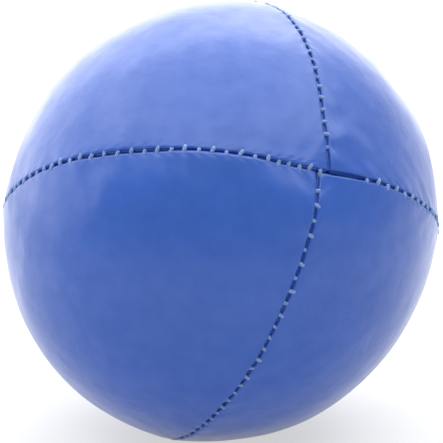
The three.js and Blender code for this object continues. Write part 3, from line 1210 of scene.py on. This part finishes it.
# %% Leatherette
BLUE = (0.019, 0.084, 0.39)
CLOUDS = {"Scale": 55.0, "Depth": 0.16}
MOTTLING = {"Scale": 400.0, "Depth": 0.16}
LACQUER_CLOUDS = {"Scale": 400.0, "Depth": 4.0}
LACQUER = 0.13
LEATHER_CELLS = 2600.0
CLOUD_SPAN = (0.92, 1.08)
POLISH = (0.26, 0.32)
CREASES = {"Strength": 1.0, "Distance": 0.000018}
LEATHER_GRAIN = {"Strength": 0.1, "Distance": 0.00003}

leatherette, tree, shader = new_material("blue leatherette")
place = add_node(tree, "ShaderNodeTexCoord").outputs["Object"]
clouds = placed(tree, uneven_tone, {"Place": place, **CLOUDS})["Tone"]
mottling = placed(tree, uneven_tone, {"Place": place, **MOTTLING})["Tone"]
lacquer_clouds = placed(tree, uneven_tone, {"Place": place, **LACQUER_CLOUDS})["Tone"]
grain = placed(tree, pebble_grain, {"Place": place, "Cells": LEATHER_CELLS})["Height"]
creases = add_node(tree, "ShaderNodeBump", {**CREASES, "Height": lacquer_clouds}).outputs["Normal"]
pressed = add_node(tree, "ShaderNodeBump", {**LEATHER_GRAIN, "Height": grain, "Normal": creases})
tone = worked_out(tree, "MULTIPLY", clouds, mottling)
tree.links.new(tinted(tree, BLUE, tone), shader.inputs["Base Color"])
tree.links.new(ramp(tree, clouds, CLOUD_SPAN, POLISH), shader.inputs["Roughness"])
tree.links.new(worked_out(tree, "MULTIPLY", lacquer_clouds, LACQUER), shader.inputs["Coat Weight"])
tree.links.new(pressed.outputs["Normal"], shader.inputs["Normal"])
shader.inputs["IOR"].default_value = 1.41
shader.inputs["Coat Roughness"].default_value = 0.3
shader.inputs["Sheen Weight"].default_value = 0.18
shader.inputs["Sheen Roughness"].default_value = 0.3
for panel in panels.values():
    panel.data.materials.append(leatherette)
print("leatherette on", len(panels), "panels")

# %% [markdown]
# ## Thread
#
# The machine thread is pale blue polyester, and the hand thread is as blue as the ball. The plies are
# in the mesh already, so the finish only adds the fibres and a painted shade, a darker line between plies.

# %% Thread
PALE_THREAD = (0.155, 0.27, 0.55)
BLUE_THREAD = (0.05, 0.1, 0.36)
THREAD_CLOUDS = {"Scale": 500.0, "Depth": 0.3}
THREAD_BUMP = {"Strength": 0.4, "Distance": 0.00004}


def thread_material(name, colour):
    """Twisted polyester: the colour times the uneven tone and the painted shade between plies."""
    material, tree, shader = new_material(name)
    uv = add_node(tree, "ShaderNodeUVMap", uv_map="UVMap").outputs["UV"]
    place = add_node(tree, "ShaderNodeTexCoord").outputs["Object"]
    twist = placed(tree, twist_fibres, {"UV": uv, "Plies": float(PLIES)})
    clouds = placed(tree, uneven_tone, {"Place": place, **THREAD_CLOUDS})["Tone"]
    bump = add_node(tree, "ShaderNodeBump", {**THREAD_BUMP, "Height": twist["Height"]})
    # The tone takes in the painted shade between plies.
    tone = worked_out(tree, "MULTIPLY", clouds, twist["Painted Shade"])
    tree.links.new(tinted(tree, colour, tone), shader.inputs["Base Color"])
    tree.links.new(bump.outputs["Normal"], shader.inputs["Normal"])
    shader.inputs["Roughness"].default_value = 0.55
    shader.inputs["Sheen Weight"].default_value = 0.2
    return material


machine_finish = thread_material("pale polyester thread", PALE_THREAD)
for thread in machine_threads:
    thread.data.materials.append(machine_finish)
hand_thread.data.materials.append(thread_material("blue polyester thread", BLUE_THREAD))
print(len(machine_threads), "machine threads and a hand thread finished")

# %% [markdown]
# ## Seed
#
# Dry millet is straw-coloured and matt, and each grain is a little lighter or darker than the next.
# That tone was drawn once for each grain and stored on its points. The husk uses the same pebble
# grain as the leatherette, with smaller cells.

# %% Seed
MILLET = (0.66, 0.46, 0.17)
GRAIN_TONES = (0.72, 1.15)
SEED_CLOUDS = {"Scale": 700.0, "Depth": 0.25}
HUSK_CELLS = 5000.0
HUSK_BUMP = {"Strength": 0.3, "Distance": 0.00005}

millet, tree, shader = new_material("dry millet")
place = add_node(tree, "ShaderNodeTexCoord").outputs["Object"]
drawn_tone = add_node(tree, "ShaderNodeAttribute", attribute_name="grain_tone").outputs["Fac"]
clouds = placed(tree, uneven_tone, {"Place": place, **SEED_CLOUDS})["Tone"]
husk = placed(tree, pebble_grain, {"Place": place, "Cells": HUSK_CELLS})["Height"]
bump = add_node(tree, "ShaderNodeBump", {**HUSK_BUMP, "Height": husk})
tone = worked_out(tree, "MULTIPLY", ramp(tree, drawn_tone, (0.0, 1.0), GRAIN_TONES), clouds)
tree.links.new(tinted(tree, MILLET, tone), shader.inputs["Base Color"])
tree.links.new(bump.outputs["Normal"], shader.inputs["Normal"])
shader.inputs["Roughness"].default_value = 0.6
seed.data.materials.append(millet)
print("seed finished")

# %% [markdown]
# ## Floor
#
# The photograph is a studio picture on white paper. A lit floor alone would be grey near the ball and
# would end in a horizon. So towards the camera, and in reflections, it glows plain white in the
# distance, and close by it is lightened by a share, which keeps the ball's shadow faint. Between
# the two it is only lit paper. None of that glow lights the ball's dull parts.

# %% The floor
FLOOR_SIZE = 3.0
PAPER = (0.82, 0.82, 0.82, 1)
PAPER_ROUGHNESS = 0.9
WHITE = (1, 1, 1, 1)
SHADOW_WHITE = 0.6
SHADOW_SPAN = (0.05, 0.11)
DISTANT_SPAN = (0.2, 0.6)


def seen_directly(tree):
    """One for camera, glossy and transmission rays, zero for the others."""
    path = add_node(tree, "ShaderNodeLightPath").outputs
    either = worked_out(tree, "MAXIMUM", path["Is Camera Ray"], path["Is Glossy Ray"])
    return worked_out(tree, "MAXIMUM", either, path["Is Transmission Ray"])


floor_mesh = bpy.data.meshes.new("floor")
floor_corners = FLOOR_SIZE * np.array(((-1, -1, 0), (1, -1, 0), (1, 1, 0), (-1, 1, 0)))
floor_mesh.from_pydata(floor_corners.tolist(), [], [(0, 1, 2, 3)])
floor = bpy.data.objects.new("floor", floor_mesh)
bpy.context.scene.collection.objects.link(floor)

paper, tree, shader = new_material("white paper floor")
shader.inputs["Base Color"].default_value = PAPER
shader.inputs["Roughness"].default_value = PAPER_ROUGHNESS
shader.inputs["Specular IOR Level"].default_value = 0.0
place = add_node(tree, "ShaderNodeTexCoord").outputs["Object"]
away = add_node(tree, "ShaderNodeVectorMath", {0: place}, operation="LENGTH").outputs["Value"]
lightened = ramp(tree, away, SHADOW_SPAN, (SHADOW_WHITE, 0.0))
distant = ramp(tree, away, DISTANT_SPAN, (0.0, 1.0))
whiteness = worked_out(tree, "MAXIMUM", lightened, distant)
share = worked_out(tree, "MULTIPLY", seen_directly(tree), whiteness)
glow = add_node(tree, "ShaderNodeEmission", {"Color": WHITE, "Strength": 1.0}).outputs[0]
blend = add_node(tree, "ShaderNodeMixShader", {0: share, 1: shader.outputs[0], 2: glow}).outputs[0]
tree.links.new(blend, tree.get_output_node("ALL").inputs["Surface"])
floor_mesh.materials.append(paper)
print(f"a floor of {2 * FLOOR_SIZE:.0f} m")

# %% [markdown]
# ## Surroundings
#
# White surroundings give the ball its pale rim, because a glossy surface seen at a flat angle mirrors
# what is behind it. Towards the camera and in reflections the world is plain white. As a light it
# stays weak, because the softboxes do that work and a bright world would wash out the form.

# %% The white surroundings
AMBIENT = 0.05

bpy.context.scene.view_settings.view_transform = "Standard"
world = bpy.data.worlds.new("white studio")
bpy.context.scene.world = world
world.use_nodes = True
tree = world.node_tree
tree.nodes.clear()
strength = ramp(tree, seen_directly(tree), (0.0, 1.0), (AMBIENT, 1.0))
background = add_node(tree, "ShaderNodeBackground", {"Color": WHITE, "Strength": strength}).outputs[0]
add_node(tree, "ShaderNodeOutputWorld", {"Surface": background})
print("world:", world.name)

# %% [markdown]
# ## Softboxes
#
# One large softbox overhead makes the broad pale area on the upper panels. One behind and one at the
# left brighten the rim, and two weak ones keep the right side from going dull. A softbox is given
# by the brightness of its face, not by its power, so that its size can change while its image in
# the leatherette stays as bright.

# %% The softboxes
SOFTBOXES = {
    "overhead softbox": {"place": (0.02, -0.03, 0.6), "width": 1.06, "height": 1.06, "radiance": 2.8},
    "left softbox": {"place": (-0.6, 0.22, 0.27), "width": 0.8, "height": 0.8, "radiance": 1.9},
    "back softbox": {"place": (-0.02, 0.7, 0.35), "width": 1.0, "height": 1.15, "radiance": 1.68},
    "right softbox": {"place": (0.5, 0.3, 0.26), "width": 0.66, "height": 0.66, "radiance": 0.4},
    "high right softbox": {"place": (0.5, -0.02, 0.6), "width": 0.5, "height": 0.5, "radiance": 0.6},
}


def softbox(name, place, width, height, radiance):
    """A flat light that looks at the ball; its power is pi times its area times its radiance."""
    light = bpy.data.lights.new(name, "AREA")
    light.shape = "RECTANGLE"
    light.size = width
    light.size_y = height
    light.energy = np.pi * width * height * radiance
    lamp = bpy.data.objects.new(name, light)
    lamp.location = place
    toward = Vector((0, 0, rest_height * METRES)) - Vector(place)
    lamp.rotation_euler = toward.to_track_quat("-Z", "Y").to_euler()
    bpy.context.scene.collection.objects.link(lamp)
    print(f"{name}: {light.energy:.1f} W")


for name, box in SOFTBOXES.items():
    softbox(name, **box)
